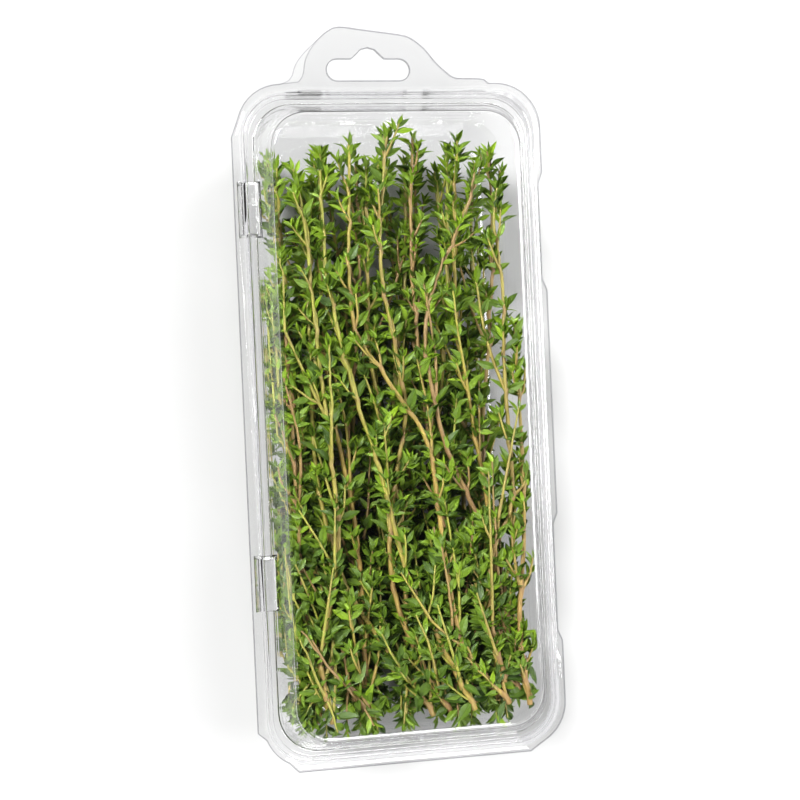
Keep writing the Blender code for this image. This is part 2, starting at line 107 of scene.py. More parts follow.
# Upper surface of each half in millimetres: inset from the flange's edge, height over the parting plane
LID_SECTION = ((2.9, 0.55), (3.1, 2.2), (5.9, 2.2), (6.4, 3.2), (9.2, 10.1), (9.9, 10.8), (10.6, 11.0),
               (12.0, 11.0), (15.5, 10.6))
TRAY_SECTION = ((3.9, -0.2), (4.2, 1.2), (6.0, 1.2), (6.5, -1.6), (8.2, -12.7), (9.4, -13.55), (14.2, -13.55),
                (15.4, -12.9))
FOLD_RADIUS = 0.8
FOLD_REACH = 0.48
FOLD_STEPS = 5
EDGE_WIDTH = 0.28 * MM
SHARP_ANGLE = 38
# Ripples in the sheet: scale of the noise, its stretch, and their height
RIPPLE_SCALE = 60
RIPPLE_STRETCH = (0.12, 0.12, 8)
RIPPLE_HEIGHT = 0.4 * MM

# Room inside the pack for the sprigs, in millimetres, with the wall as height and inset from the flange's edge
WALL = ((-13.4, 9.6), (-12.7, 8.4), (-1.6, 6.9), (1.2, 6.9), (2.9, 7.3), (9.9, 10.2))
FLOOR_LEVEL = -12.6
PANEL_LEVEL = 9.8
WALL_CLEARANCE = 0.25

# Routes of the stems that lie nearest the lid, from the cut end to the tip, in millimetres:
# x and y from the flange's centre, and the height over the parting plane
FRONT_STEMS = (
    ((-24.5, -80.5, 6.8), (-26.9, -62, 6.8), (-21, -36, 6.8), (-21.3, -11, 6.8), (-24, 22, 6.8), (-26, 55, 6.8),
     (-28.5, 70, 6.4)),
    ((15.7, -80, 6.6), (5.4, -58, 6.8), (-2.2, -40, 6.8), (-9.2, -8, 6.8), (-14, 7, 6.8), (-20.3, 40, 6.8),
     (-21, 74, 6.2)),
    ((25.6, -79, 6.8), (13.2, -62, 7.0), (9, -38, 7.0), (5.4, -6, 7.0), (-5.4, 12.6, 7.0), (-14, 31, 6.8),
     (-12.6, 77, 6.2)),
    ((29, -78, 4.8), (27, -60, 4.4), (25.5, -42, 4.4), (21, -30, 4.4), (14.5, -16, 5.4), (9, 0, 6.8), (6.2, 24, 6.8),
     (10.5, 40, 6.8), (19.5, 58, 6.6), (23, 71, 6.2)),
    ((24.4, -73, 6.8), (20.9, -50, 6.8), (23.4, -35, 6.8), (29, -22, 6.8), (28.4, 10, 6.8), (29, 38, 6.4),
     (27.4, 53, 6.0), (29, 64, 5.6)),
    ((31.6, -80, 6.2), (29.6, -57, 6.6), (31.8, -35, 6.6), (32.6, -14, 6.4), (32.4, 6, 6.0), (32.2, 26, 5.6)),
    ((9.5, -81, 4.4), (2.5, -68, 4.4), (-4.1, -51, 4.4), (-6, -32, 4.4), (-2.9, -13, 4.4), (0.3, 5, 4.4),
     (-3.2, 27, 5.8), (-5.5, 48, 6.8), (-2, 79, 6.2)),
    ((4.4, -81, 4.4), (-0.8, -72, 4.4), (-9.8, -59, 4.4), (-17.9, -45, 4.4), (-22.5, -31, 4.4), (-25.5, -11, 4.4),
     (-26, 10, 4.4), (-25.5, 30, 4.4), (-23.5, 62, 4.0)),
    ((-12.5, -81, 4.4), (-20, -70, 4.4), (-29, -56, 4.4), (-31, -26, 4.4), (-31.5, 8, 4.4), (-32.5, 34, 4.2)),
)

# The layers below: height, number of stems, lean of the fan, and how far the tips reach
BACK_LAYERS = (
    (2.2, 5, -6.0, 79.0),
    (-2.2, 5, 5.0, 77.0),
    (-6.5, 4, -4.0, 80.0),
    (-10.6, 4, 6.0, 75.0),
)
FAN_CENTRE = -2.5
FAN_HALF_WIDTH = 32.0
FAN_OFFSETS = (0.3, 0.7)
FAN_BASE_Y = -81.0
BASE_SPREAD = 5
TIP_SPREAD = 12
SWAY = 2.2
SWAY_TURN = 2.2 * math.pi
SWAY_LAG = 1.7
SIDE_JITTER = 0.7
LEVEL_JITTER = 0.25
ROUTE_STEPS = 6
ROUTE_SEED = 1409

# How readily a sprig branches, by the height over the parting plane that it lies above
BRANCHING = ((4, 0.22), (0, 0.36), (-4, 0.5), (-math.inf, 0.75))
# Near the walls: x where each side starts, its branching, and how the shoots pull towards the fold
FOLD_SIDE = -22 * MM
FOLD_SIDE_BRANCHING = 0.75
FOLD_SIDE_PULL = 0.3
FOLD_SIDE_DEEP_PULL = 0.6
SNAP_SIDE = 18 * MM
SNAP_SIDE_BRANCHING = 0.35

# The outline of a leaf in shares of its length: distance from the stem, and half its width
LEAF_OUTLINE = ((0.0, 0.026), (0.12, 0.058), (0.36, 0.176), (0.60, 0.166), (0.83, 0.084), (1.0, 0.0))
# How much each kind of leaf is cupped, and how far its tip curls
LEAF_SHAPES = ((0.50, 0.10), (0.85, 0.16), (0.28, 0.20), (1.15, 0.05), (0.62, -0.08), (0.36, 0.30))
LEAF_DEPTH = 0.045
EDGE_PALENESS = 0.22
MIDRIB_PALENESS = 0.30
UNDERSIDE_PALENESS = 0.85

# What a sprig's draws lie between: greener or browner stem, redness, younger or older leaves, shade of a stem
GREENER = (-0.30, 0.45)
REDNESS = (0.0, 0.04, 0.08, 0.15, 0.42)
FRESHER = (-0.10, 0.12)
STEM_SHADE = (0.35, 0.65)

# Stems, with lengths in millimetres. A taper, a size or a youth has its value at the base and its change along the
# stem, and a swelling or reddening at a node has its strength and its reach
STEM_SIDES = 8
STEM_STEP = 2.4
FEWEST_STEM_POINTS = 8
STEM_TAPER = (1.05, 0.5)
CUT_BEVEL = 0.8
CURVE_STEPS = 12
WEAK_DIRECTION = 0.1
FIRST_NODE = (1.2, 3.5)
BARE_TIP = 5
NODE_DRAW = (0.8, 1.2)
NODE_CLOSER = (1.3, 0.8)
NODE_SWELL = (0.22, 1.8)
NODE_RUST = (0.35, 2.0)
MOST_RUST = 0.5
KINK = (0.2, 0.5)
KINK_UP = (-0.15, 0.15)

# The cut end, where nodes stand close and leaves spread wide: its share of the stem, and the nodes' spacing there
LOW_SHARE = 0.12
LOW_CLOSER = 0.32
LOW_BRANCHING = 0.2

# Pairs of leaves on a stem, higher up and at the cut end: angle to the stem in degrees, and size
PAIR = (0, 180)
PAIR_TURN = 20
PAIR_TWIST = 16
PAIR_SPREAD = ((40, 64), (60, 145))
PAIR_SIZE = ((0.85, 1.1), (0.75, 1.1))
SIZE_ALONG = (1.03, 0.22)
SIZE_DRAW = (0.86, 1.1)
YOUTH_ALONG = (0.08, 0.4)

# A single leaf: its roll in degrees, the turns that it tries with how much closer to the stem it then lies, how it
# faces, and where it needs room in shares of its length
LEAF_ROLL = 26
LEAF_TRIES = ((0, 0), (28, 0), (-28, 0), (0, 18), (55, 10), (-55, 10), (85, 18), (-85, 18))
LEAST_SPREAD = 6
FACE_STEM = 0.55
FACE_LID = 0.8
LEAF_HALF = 0.21
LEAF_RISE = 0.08
LEAF_HEART = 0.12
LEAF_WIDTH = (0.90, 1.12)
WIDTH_BY_YOUTH = (1.14, 0.36)
YOUTH_DEVIATION = 0.16
LEAF_SHADE = (0.47, 0.25)
CROWD_SPACING = 1.1 * MM

# A tuft's pairs of leaves: distance back from the tip, angle to the stem, size. Its own size is in millimetres
TUFT = ((0.50, 52, 1.0), (0.27, 36, 0.92), (0.10, 22, 0.70), (0.0, 8, 0.45))
TUFT_TWIST = 14
TUFT_SPREAD = 8
TUFT_SIZE = (0.85, 1.1)
TUFT_YOUTH = 0.1
AXIL_TUFT = (3.2, 4.6)
SHOOT_TUFT = (4.2, 5.6)
TIP_TUFTS = ((0, (4.8, 6.0), 0.7), (3.4, (4.8, 5.8), 0.55))

# Side shoots, first the long ones and then those in an axil: angle to the stem in degrees, and in millimetres the
# length, radius, distance between pairs of leaves, and the leaves' length
SHOOT_SIDES = 6
SHOOT_STEP = 2.0
SHOOT_LEAN = ((14, 30), (32, 50))
SHOOT_LENGTH = ((20, 48), (5, 11))
SHOOT_RADIUS = (0.52, 0.40)
SHOOT_SPACING = ((6, 9), (3.6, 5.2))
SHOOT_LEAF = ((4.8, 6.4), (4.0, 5.4))
SHOOT_TIP_RADIUS = 0.24
SHOOT_START = 0.45
SHOOT_ALONG = 0.8
SHOOT_WANDER = ((-0.12, 0.12), (-0.1, 0.12))
SHOOT_TURN = 1.6
SHOOT_YOUTH = (0.45, 0.55)
SHOOT_FIRST_NODE = (0.6, 0.9)
SHOOT_BARE_TIP = 2.2
SHOOT_NODE_DRAW = (0.85, 1.15)
SHOOT_TWIST = 15
SHOOT_SPREAD = (30, 54)
SHOOT_AXILS = 0.75
FEWEST_SHOOT_POINTS = 4
LOOK_AHEAD = 1.5
TOP_SHARE = 0.65
LONGEST_SHARE = 0.85
AXIL_LEAN = 0.6
AXIL_REACH = 1.2
# Shoots that run back over the cut end: their nodes, their length, and the branching from which a sprig has them
BACK_SHOOT_NODES = (1, 2)
BACK_SHOOT_LENGTH = (9, 15)
BACK_SHOOT_BRANCHING = 0.35

# Colour multipliers, from the darkest to the brightest
LEAF_SHADES = ((0.34, 0.41, 0.26), (1.52, 1.42, 1.05))
LEAF_MOTTLE = ((0.86, 0.88, 0.84), (1.10, 1.08, 1.05))
BARK_SHADES = ((0.72, 0.72, 0.70), (1.25, 1.24, 1.20))
BARK_STREAKS = ((0.66, 0.60, 0.52), (1.30, 1.28, 1.22))

# The camera, as the photograph sees the pack
CAMERA_PLACE = (-0.1144, 0.00055, 0.5003)
CAMERA_RIGHT = (0.9725, -0.0449, 0.2287)
CAMERA_UP = (0.0446, 0.9990, 0.0063)
CAMERA_BACK = (-0.2288, 0.0041, 0.9735)

# The lights: name, direction that the light comes from, width in degrees, share of the key light's strength
LAMPS = (
    ("key", (-0.55, 0.45, 0.70), 24, 1.0),
    ("right", (0.75, 0.15, 0.45), 38, 0.55),
    ("front", (0.05, -0.80, 0.55), 36, 0.5),
)
# The sky: height over the horizon, brightness
SKY = ((0.04, 1.0), (0.22, 0.25), (0.90, 0.02))
# The floor, in metres
FLOOR_SIZE = 2.5
FLOOR_DROP = 0.1 * MM
SEE_THROUGH_BOUNCES = 48


# Settings

class PackSettings(bpy.types.PropertyGroup):
    """Sizes and finish of the clear pack"""
    sheet: FloatProperty(name="Sheet Thickness", description="Thickness of the clear sheet",
                         default=0.32 * MM, min=0.2 * MM, max=0.6 * MM, precision=5, unit="LENGTH")
    tint: FloatVectorProperty(name="Sheet Tint", description="What one face of the sheet lets through head on",
                              default=(0.992, 0.992, 0.993), min=0, max=1, subtype="COLOR")
    # Darker glass on a narrow band along the cut edge: a painted dark line that stands in for what refraction shows
    # at the edge
    painted_edge_line_tint: FloatVectorProperty(name="Edge Tint", description="What one face lets through along the cut edge",
                                   default=(0.86, 0.86, 0.87), min=0, max=1, subtype="COLOR")
    shadow_tint: FloatVectorProperty(name="Shadow Tint", description="What one face of the sheet lets light through",
                                     default=(0.992, 0.992, 0.993), min=0, max=1, subtype="COLOR")
    index: FloatProperty(name="Refraction", description="How much the sheet bends light", default=1.5, min=1, max=2)
    ripple: FloatProperty(name="Ripple", description="Strength of the ripples along the walls", default=0.24,
                          min=0, max=1, subtype="FACTOR")


class SprigSettings(bpy.types.PropertyGroup):
    """Sizes and colours of the thyme"""
    leaf_length: FloatProperty(name="Leaf Length", description="Length of a full-grown leaf",
                               default=7.2 * MM, min=3 * MM, max=9 * MM, precision=4, unit="LENGTH")
    node_spacing: FloatProperty(name="Node Spacing", description="Distance between two pairs of leaves",
                                default=15 * MM, min=5 * MM, max=25 * MM, precision=4, unit="LENGTH")
    stem_radius: FloatProperty(name="Stem Radius", description="Radius of a stem at its cut end",
                               default=0.74 * MM, min=0.3 * MM, max=1.2 * MM, precision=5, unit="LENGTH")
    seed: IntProperty(name="Seed", description="Start of the random draws", default=77, min=0)
    old_leaf: FloatVectorProperty(name="Old Leaf", description="Colour of a full-grown leaf",
                                  default=(0.025, 0.064, 0.005), min=0, max=1, subtype="COLOR")
    young_leaf: FloatVectorProperty(name="Young Leaf", description="Colour of a leaf at a tip",
                                    default=(0.142, 0.248, 0.007), min=0, max=1, subtype="COLOR")
    underside: FloatVectorProperty(name="Underside", description="Colour of a leaf's pale underside",
                                   default=(0.115, 0.178, 0.030), min=0, max=1, subtype="COLOR")
    woody_stem: FloatVectorProperty(name="Woody Stem", description="Colour of the stem near its cut end",
                                    default=(0.275, 0.188, 0.040), min=0, max=1, subtype="COLOR")
    red_stem: FloatVectorProperty(name="Red Stem", description="Colour of the stem's reddish stretches",
                                  default=(0.190, 0.105, 0.045), min=0, max=1, subtype="COLOR")
    green_stem: FloatVectorProperty(name="Green Stem", description="Colour of the stem near its tip",
                                    default=(0.220, 0.238, 0.028), min=0, max=1, subtype="COLOR")
    cut_face: FloatVectorProperty(name="Cut Face", description="Colour of a freshly cut stem",
                                  default=(0.640, 0.620, 0.330), min=0, max=1, subtype="COLOR")


class StageSettings(bpy.types.PropertyGroup):
    """Floor, light and camera"""
    floor: FloatVectorProperty(name="Floor", description="Colour of the floor",
                               default=(0.425, 0.425, 0.425), min=0, max=1, subtype="COLOR")
    key: FloatProperty(name="Key Light", description="Strength of the key light", default=6.5, min=0)
    sky: FloatProperty(name="Sky", description="Strength of the light from all round", default=1.0, min=0)
    lens: FloatProperty(name="Lens", description="Focal length", default=81, min=20, max=200, unit="CAMERA")


# Small tools

def piece_from(builder, name, materials):
    """An object that holds what a bmesh has built."""
    mesh = bpy.data.meshes.new(name)
    builder.to_mesh(mesh)
    builder.free()
    for material in materials:
        mesh.materials.append(material)
    thing = bpy.data.objects.new(name, mesh)
    bpy.context.scene.collection.objects.link(thing)
    return thing


def apply_modifiers(thing):
    """Replace a mesh by the mesh that its modifiers make."""
    graph = bpy.context.evaluated_depsgraph_get()
    mesh = bpy.data.meshes.new_from_object(thing.evaluated_get(graph))
    mesh.name = thing.name
    thing.modifiers.clear()
    thing.data = mesh


def combine(thing, other, operation):
    """Join or cut with another object, apply it, and remove the other object."""
    modifier = thing.modifiers.new(operation, "BOOLEAN")
    modifier.operation = operation
    modifier.object = other
    modifier.solver = "EXACT"
    apply_modifiers(thing)
    bpy.data.objects.remove(other)


def clamp(value):
    """The value, kept between 0 and 1."""
    return min(max(value, 0), 1)


def only(items, kind):
    """The vertices, edges or faces among what an operator made."""
    return [item for item in items if isinstance(item, kind)]


def extrude_ring(builder, edges):
    """Extrude a ring of edges, and give the new ring's vertices and edges."""
    grown = bmesh.ops.extrude_edge_only(builder, edges=edges)["geom"]
    return only(grown, bmesh.types.BMVert), only(grown, bmesh.types.BMEdge)


def arc(centre, radius, start, end, steps):
    """Points on an arc between two angles in degrees."""
    turns = [math.radians(start + (end - start) * step / steps) for step in range(steps + 1)]
    return [(centre[0] + radius * math.cos(turn), centre[1] + radius * math.sin(turn)) for turn in turns]


# The clear sheet

def round_off(section, radius, steps):
    """A section with each inner corner rounded."""
    points = [Vector(point) for point in section]
    smooth = [points[0]]
    for before, corner, after in zip(points, points[1:], points[2:]):
        back = before - corner
        ahead = after - corner
        half = back.angle(ahead) / 2
        reach = min(radius / math.tan(half), back.length * FOLD_REACH, ahead.length * FOLD_REACH)
        start = corner + back.normalized() * reach
        end = corner + ahead.normalized() * reach
        for step in range(steps + 1):
            t = step / steps
            smooth.append(start.lerp(corner, t).lerp(corner.lerp(end, t), t))
    smooth.append(points[-1])
    return smooth


def ring_point(corner, turn, inset):
    """Where a ring's vertex lies at an inset from the flange's edge."""
    radius = max(CORNER_RADIUS - CORNER_EASE * inset, SMALLEST_CORNER)
    x = (1, -1, -1, 1)[corner] * (HALF_WIDTH - inset - radius) + radius * math.cos(turn)
    y = (1, 1, -1, -1)[corner] * (HALF_LENGTH - inset - radius) + radius * math.sin(turn)
    return x, y + CENTRE_Y


def flange_outline(fold_side):
    """The flange's edge, anticlockwise from the cut-end corner on the snap side."""
    right = HALF_WIDTH
    end = HALF_LENGTH
    radius = CORNER_RADIUS
    fold_corner_x = FOLD_STRIP - HALF_WIDTH + radius
    cut_corner_y = CUT_END_STEP - end + radius
    points = [(CUT_END_CORNER, -end)]
    points += arc((right - radius, cut_corner_y), radius, *SNAP_CUT_ARC)
    for low, low_back, high_back, high in SNAP_CUTS:
        points += [(right, low * MM), (right - SNAP_CUT_BACK, low_back * MM)]
        points += [(right - SNAP_CUT_BACK, high_back * MM), (right, high * MM)]
    points += arc((right - radius, end - radius), radius, *SNAP_TAB_ARC)
    tab = catmull([Vector((x * MM, end + y * MM, 0)) for x, y in TAB_SNAP_SIDE + fold_side], TAB_STEPS)
    points += [(point.x, point.y) for point in tab]
    points += arc((fold_corner_x, end - radius), radius, *FOLD_TAB_ARC)
    points += [(-HALF_WIDTH, y) for y in FOLD_STRIP_ENDS]
    points += arc((fold_corner_x, cut_corner_y), radius, *FOLD_CUT_ARC)
    points.append((-CUT_END_CORNER, -end))
    return [(x, y + CENTRE_Y) for x, y in points]


def slot_outline():
    """The euro slot: a long hole with round ends and a notch in the middle of its upper side."""
    radius = SLOT_HEIGHT / 2
    middle = HALF_LENGTH + SLOT_BASE + radius
    top = middle + radius
    reach = SLOT_WIDTH / 2 - radius
    points = arc((SLOT_X + reach, middle), radius, -90, 90, SLOT_STEPS)
    notch = [(NOTCH_FOOT, 0), (NOTCH_TOP + NOTCH_SHOULDER, SHOULDER_HEIGHT),
             (NOTCH_TOP, NOTCH_HEIGHT - NOTCH_ROUNDING), (0, NOTCH_HEIGHT)]
    points += [(SLOT_X + x, top + y) for x, y in notch]
    points += [(SLOT_X - x, top + y) for x, y in reversed(notch[:-1])]
    points += arc((SLOT_X - reach, middle), radius, 90, 270, SLOT_STEPS)
    return [(x, y + CENTRE_Y) for x, y in points]


def closed_line(builder, points, height):
    """Edges round an outline at a height."""
    verts = [builder.verts.new((x, y, height)) for x, y in points]
    return [builder.edges.new((verts[index - 1], vert)) for index, vert in enumerate(verts)]


def formed_sheet(name, section, fold_side, thickness, materials):
    """A thin formed sheet: a flange with its tab and slot, and the steps of the section inside it."""
    builder = bmesh.new()
    corners = builder.verts.layers.int.new("corner")
    turns = builder.verts.layers.float.new("turn")
    steps = 4 * (CORNER_STEPS + 1)
    ring = bmesh.ops.create_circle(builder, segments=steps, radius=1)["verts"]
    for vert in ring:
        spot = math.atan2(vert.co.y, vert.co.x) % math.tau / math.tau * steps
        index = round(spot) % steps
        vert[corners] = index // (CORNER_STEPS + 1)
        vert[turns] = math.radians(90 * (vert[corners] + index % (CORNER_STEPS + 1) / CORNER_STEPS))
    edges = builder.edges[:]
    levels = round_off(section, FOLD_RADIUS, FOLD_STEPS)
    for step, (inset, height) in enumerate(levels):
        if step:
            ring, edges = extrude_ring(builder, edges)
        for vert in ring:
            x, y = ring_point(vert[corners], vert[turns], inset * MM)
            vert.co = (x, y, PARTING + height * MM)
        if not step:
            level = PARTING + height * MM
            rim = closed_line(builder, flange_outline(fold_side), level)
            rim += closed_line(builder, slot_outline(), level)
            bmesh.ops.triangle_fill(builder, use_beauty=True, use_dissolve=False, edges=rim + edges, normal=UP)
            cut = {vert.co.copy().freeze() for edge in rim for vert in edge.verts}
            band = bmesh.ops.inset_region(builder, faces=builder.faces[:], use_boundary=True, use_even_offset=True,
                                          thickness=EDGE_WIDTH)["faces"]
            for face in band:
                # Faces of the band that touch the cut edge take the second material, darker glass that paints a dark
                # line along the edge
                face.material_index = any(vert.co.copy().freeze() in cut for vert in face.verts)
    bmesh.ops.edgeloop_fill(builder, edges=edges)
    bmesh.ops.recalc_face_normals(builder, faces=builder.faces)
    builder.faces.ensure_lookup_table()
    if sum(face.normal.z * face.calc_area() for face in builder.faces) < 0:
        bmesh.ops.reverse_faces(builder, faces=builder.faces)
    builder.verts.layers.int.remove(corners)
    builder.verts.layers.float.remove(builder.verts.layers.float["turn"])
    sheet = piece_from(builder, name, materials)
    solidify = sheet.modifiers.new("thickness", "SOLIDIFY")
    solidify.thickness = thickness
    solidify.offset = -1
    solidify.use_even_offset = True
    apply_modifiers(sheet)
    return sheet


def half_barrel(centre_y, radius, side, base):
    """Half a barrel lying along the fold, with sloped ends, rising on one side of the sheet."""
    builder = bmesh.new()
    length = BARREL_LENGTH - 2 * (BARREL_RADIUS - radius)
    face = builder.faces.new([builder.verts.new((x, centre_y - length / 2, base + side * z))
                              for x, z in arc((BARREL_X, 0), radius, 0, 180, BARREL_STEPS)])
    grown = bmesh.ops.extrude_face_region(builder, geom=[face])["geom"]
    bmesh.ops.translate(builder, vec=(0, length, 0), verts=only(grown, bmesh.types.BMVert))
    for vert in builder.verts:
        end = 1 if vert.co.y > centre_y else -1
        vert.co.y -= end * BARREL_SLOPE * abs(vert.co.z - base) / radius
    bmesh.ops.recalc_face_normals(builder, faces=builder.faces)
    return piece_from(builder, "barrel", [])


def add_barrels(sheet, side, flange_level, thickness):
    """Form the two half-barrels of the hinge into a sheet."""
    middle = flange_level - thickness / 2
    for operation, radius, start in (("UNION", BARREL_RADIUS, middle),
                                     ("DIFFERENCE", BARREL_RADIUS - thickness, middle - side * thickness)):
        for centre_y in BARREL_CENTRES_Y:
            combine(sheet, half_barrel(centre_y + CENTRE_Y, radius, side, start), operation)


def clear_plastic(name, tint, settings):
    """Clear sheet that bends what is seen through it, and lets the light through to what lies behind it."""
    if name in bpy.data.materials:
        return bpy.data.materials[name]
    material = bpy.data.materials.new(name)
    material.use_nodes = True
    tree = material.node_tree
    tree.nodes.clear()
    output = tree.nodes.new("ShaderNodeOutputMaterial")
    glass = tree.nodes.new("ShaderNodeBsdfGlass")
    glass.inputs["Color"].default_value = (*tint, 1)
    glass.inputs["Roughness"].default_value = 0
    glass.inputs["IOR"].default_value = settings.index
    shadow = tree.nodes.new("ShaderNodeBsdfTransparent")
    shadow.inputs["Color"].default_value = (*settings.shadow_tint, 1)
    path = tree.nodes.new("ShaderNodeLightPath")
    bumped(tree, glass, noise(tree, RIPPLE_SCALE, 1.0, RIPPLE_STRETCH), settings.ripple, RIPPLE_HEIGHT)
    seen = glass.outputs["BSDF"]
    for ray in ("Is Diffuse Ray", "Is Shadow Ray"):
        mix = tree.nodes.new("ShaderNodeMixShader")
        tree.links.new(path.outputs[ray], mix.inputs["Fac"])
        tree.links.new(seen, mix.inputs[1])
        tree.links.new(shadow.outputs["BSDF"], mix.inputs[2])
        seen = mix.outputs["Shader"]
    tree.links.new(seen, output.inputs["Surface"])
    return material


def make_half(name, section, fold_side, side, node, settings):
    """One finished half of the pack, which stands for its CAD node and moves with its body."""
    # The second material is the painted dark line along the cut edge
    materials = [clear_plastic("clear_sheet_finish", settings.tint, settings),
                 clear_plastic("cut_edge_painted_line", settings.painted_edge_line_tint, settings)]
    sheet = formed_sheet(name, section, fold_side, settings.sheet, materials)
    add_barrels(sheet, side, PARTING + section[0][1] * MM, settings.sheet)
    sheet.data.set_sharp_from_angle(angle=math.radians(SHARP_ANGLE))
    # Area-weighted normals keep the wide flat faces flat, so that they mirror the light evenly.
    sheet.modifiers.new("even_faces", "WEIGHTED_NORMAL").keep_sharp = True
    apply_modifiers(sheet)
    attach(sheet, node)
    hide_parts(node)
    return sheet


# Where the sprigs have room

def has_room(point):
    """Whether a point lies in the pack's cavity, clear of its walls."""
    height = (point.z - PARTING) / MM
    if height < FLOOR_LEVEL + WALL_CLEARANCE or height > PANEL_LEVEL - WALL_CLEARANCE:
        return False
    inset = WALL[-1][1]
    for (low, before), (high, after) in zip(WALL, WALL[1:]):
        if height <= high:
            inset = before + (after - before) * max(height - low, 0) / (high - low)
            break
    inset = (inset + WALL_CLEARANCE) * MM
    radius = CORNER_RADIUS - CORNER_EASE * inset
    across = abs(point.x) - (HALF_WIDTH - inset - radius)
    along = abs(point.y - CENTRE_Y) - (HALF_LENGTH - inset - radius)
    return math.hypot(max(across, 0), max(along, 0)) + min(max(across, along), 0) < radius


# Stems

def catmull(points, count):
    """Points at even steps along a smooth curve through the given ones."""
    padded = [points[0] * 2 - points[1]] + list(points) + [points[-1] * 2 - points[-2]]
    fine = []
    for index in range(1, len(padded) - 2):
        before, here, after, beyond = padded[index - 1:index + 3]
        for step in range(CURVE_STEPS):
            t = step / CURVE_STEPS
            fine.append(0.5 * (2 * here + (after - before) * t
                               + (2 * before - 5 * here + 4 * after - beyond) * t ** 2
                               + (3 * here - before - 3 * after + beyond) * t ** 3))
    fine.append(points[-1])
    return resample(fine, count)


def resample(line, count):
    """The same line with evenly spaced points."""
    lengths = [0]
    for here, after in zip(line, line[1:]):
        lengths.append(lengths[-1] + (after - here).length)
    points = []
    index = 0
    for step in range(count):
        goal = lengths[-1] * step / (count - 1)
        while index < len(line) - 2 and lengths[index + 1] < goal:
            index += 1
        span = lengths[index + 1] - lengths[index]
        points.append(line[index].lerp(line[index + 1], (goal - lengths[index]) / span))
    return points


def stem_routes():
    """Every stem's route, those nearest the lid first."""
    routes = []
    for points in FRONT_STEMS:
        routes.append([Vector((x * MM, y * MM + CENTRE_Y, PARTING + z * MM)) for x, y, z in points])
    for number, (height, count, lean, tip_y) in enumerate(BACK_LAYERS):
        for index in range(count):
            draw = random.Random(ROUTE_SEED + 100 * number + index)
            place = -1 + 2 * (index + FAN_OFFSETS[number % 2]) / count
            route = []
            start = FAN_BASE_Y + draw.uniform(0, BASE_SPREAD)
            end = tip_y - draw.uniform(0, TIP_SPREAD)
            for step in range(ROUTE_STEPS + 1):
                t = step / ROUTE_STEPS
                x = FAN_CENTRE + FAN_HALF_WIDTH * place + lean * (t - 0.5)
                x += SWAY * math.sin(SWAY_TURN * t + number * SWAY_LAG) + draw.uniform(-SIDE_JITTER, SIDE_JITTER)
                z = height + draw.uniform(-LEVEL_JITTER, LEVEL_JITTER)
                y = start + (end - start) * t
                route.append(Vector((x * MM, y * MM + CENTRE_Y, PARTING + z * MM)))
            routes.append(route)
    return routes


def place_on(line, spot):
    """The point at a spot counted in a line's steps, and the line's direction there."""
    index = min(int(spot), len(line) - 2)
    here, after = line[index:index + 2]
    return here.lerp(after, spot - index), (after - here).normalized()


def axes_along(along):
    """Two directions square to a stem's direction: one level, one towards the lid."""
    side = along.cross(UP)
    if side.length < WEAK_DIRECTION:
        side = along.cross(Vector((0, 1, 0)))
    side.normalize()
    return side, side.cross(along)


